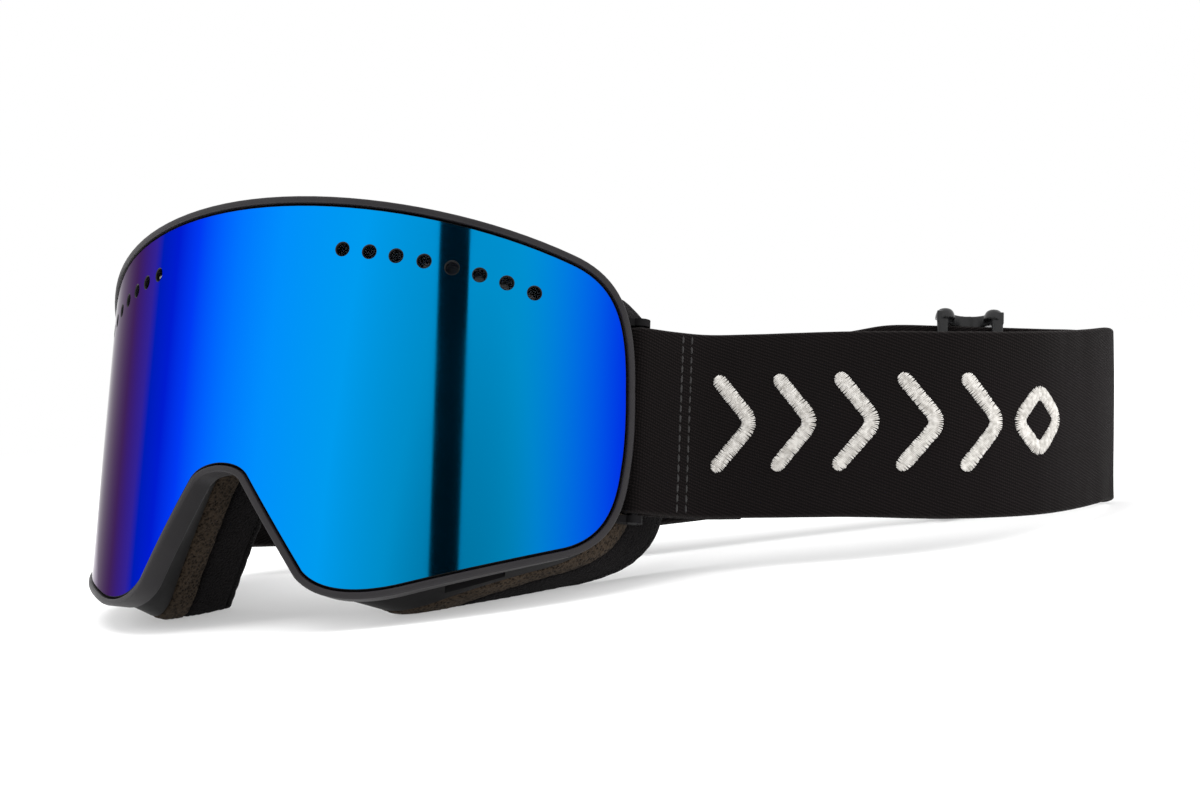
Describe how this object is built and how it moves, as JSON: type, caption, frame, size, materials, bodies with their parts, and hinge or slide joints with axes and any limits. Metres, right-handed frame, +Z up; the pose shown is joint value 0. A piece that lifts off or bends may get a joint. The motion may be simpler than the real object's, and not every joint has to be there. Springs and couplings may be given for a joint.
{
  "type": "motorcycle goggles",
  "caption": "Riding goggles with a cylindrical mirrored lens in a matte rim, layered face foam, and an elastic head strap with a slide adjuster.",
  "frame": {"origin": "on the floor under the middle of the whole object's box, as it stands on its foam and strap", "axes": "+X to the right in a front view (the wearer's left), +Y from the lens back towards the face, +Z up"},
  "size_m": [0.2586, 0.1786, 0.1042],
  "materials": {
    "bezel_plastic": "satin moulded rim",
    "frame_rubber": "soft moulded frame",
    "open_foam": "open-cell brown-grey foam",
    "dense_foam": "dense black foam",
    "fleece": "brushed fleece facing",
    "mirror_coat": "blue mirror coat on a tinted lens",
    "carrier_plastic": "moulded ring",
    "gasket_foam": "closed-cell seal",
    "clear_pane": "clear anti-fog pane",
    "webbing": "ribbed elastic webbing",
    "pin_steel": "plain",
    "grip_silicone": "raised silicone line",
    "slide_plastic": "glossy moulded slide",
    "magnet_metal": "nickel-plated"
  },
  "bodies": {
    "goggles": {"bezel": "bezel_plastic", "face_frame": "frame_rubber", "vent_foam_brow": "open_foam", "vent_foam_cheek_right": "open_foam", "vent_foam_cheek_left": "open_foam", "foam_base": "open_foam", "foam_middle": "dense_foam", "foam_fleece": "fleece", "strap_main": "webbing", "strap_return": "webbing", "strap_pin_right": "pin_steel", "strap_pin_left": "pin_steel", "grip_bead_upper": "grip_silicone", "grip_bead_middle": "grip_silicone", "grip_bead_lower": "grip_silicone", "frame_magnet_brow_right": "magnet_metal", "frame_magnet_brow_left": "magnet_metal", "frame_magnet_temple_right": "magnet_metal", "frame_magnet_temple_left": "magnet_metal", "frame_magnet_cheek_right": "magnet_metal", "frame_magnet_cheek_left": "magnet_metal"},
    "lens_cassette": {"outer_lens": "mirror_coat", "lens_carrier": "carrier_plastic", "lens_gasket": "gasket_foam", "inner_lens": "clear_pane", "lens_magnet_brow_right": "magnet_metal", "lens_magnet_brow_left": "magnet_metal", "lens_magnet_temple_right": "magnet_metal", "lens_magnet_temple_left": "magnet_metal", "lens_magnet_cheek_right": "magnet_metal", "lens_magnet_cheek_left": "magnet_metal"},
    "adjuster": {"slide": "slide_plastic", "slide_tab": "webbing"},
    "strap_end_right": {"strap_loop_right": "webbing"},
    "strap_end_left": {"strap_loop_left": "webbing"}
  },
  "joints": [
    {"name": "lens_release", "type": "slide", "parent": "goggles", "child": "lens_cassette", "axis": [0, -0.9553, 0.2957], "range_m": [0, 0.03]},
    {"name": "strap_adjust", "type": "slide", "parent": "goggles", "child": "adjuster", "axis": [-0.866, -0.4776, 0.1479], "range_m": [-0.012, 0.01]},
    {"name": "strap_swing_right", "type": "hinge", "parent": "goggles", "child": "strap_end_right", "pos_m": [0.04418, -0.02486, 0.03885], "axis": [0, 0.2957, 0.9553], "range_deg": [-12, 12]},
    {"name": "strap_swing_left", "type": "hinge", "parent": "goggles", "child": "strap_end_left", "pos_m": [-0.12302, -0.02486, 0.03885], "axis": [0, 0.2957, 0.9553], "range_deg": [-12, 12]}
  ]
}
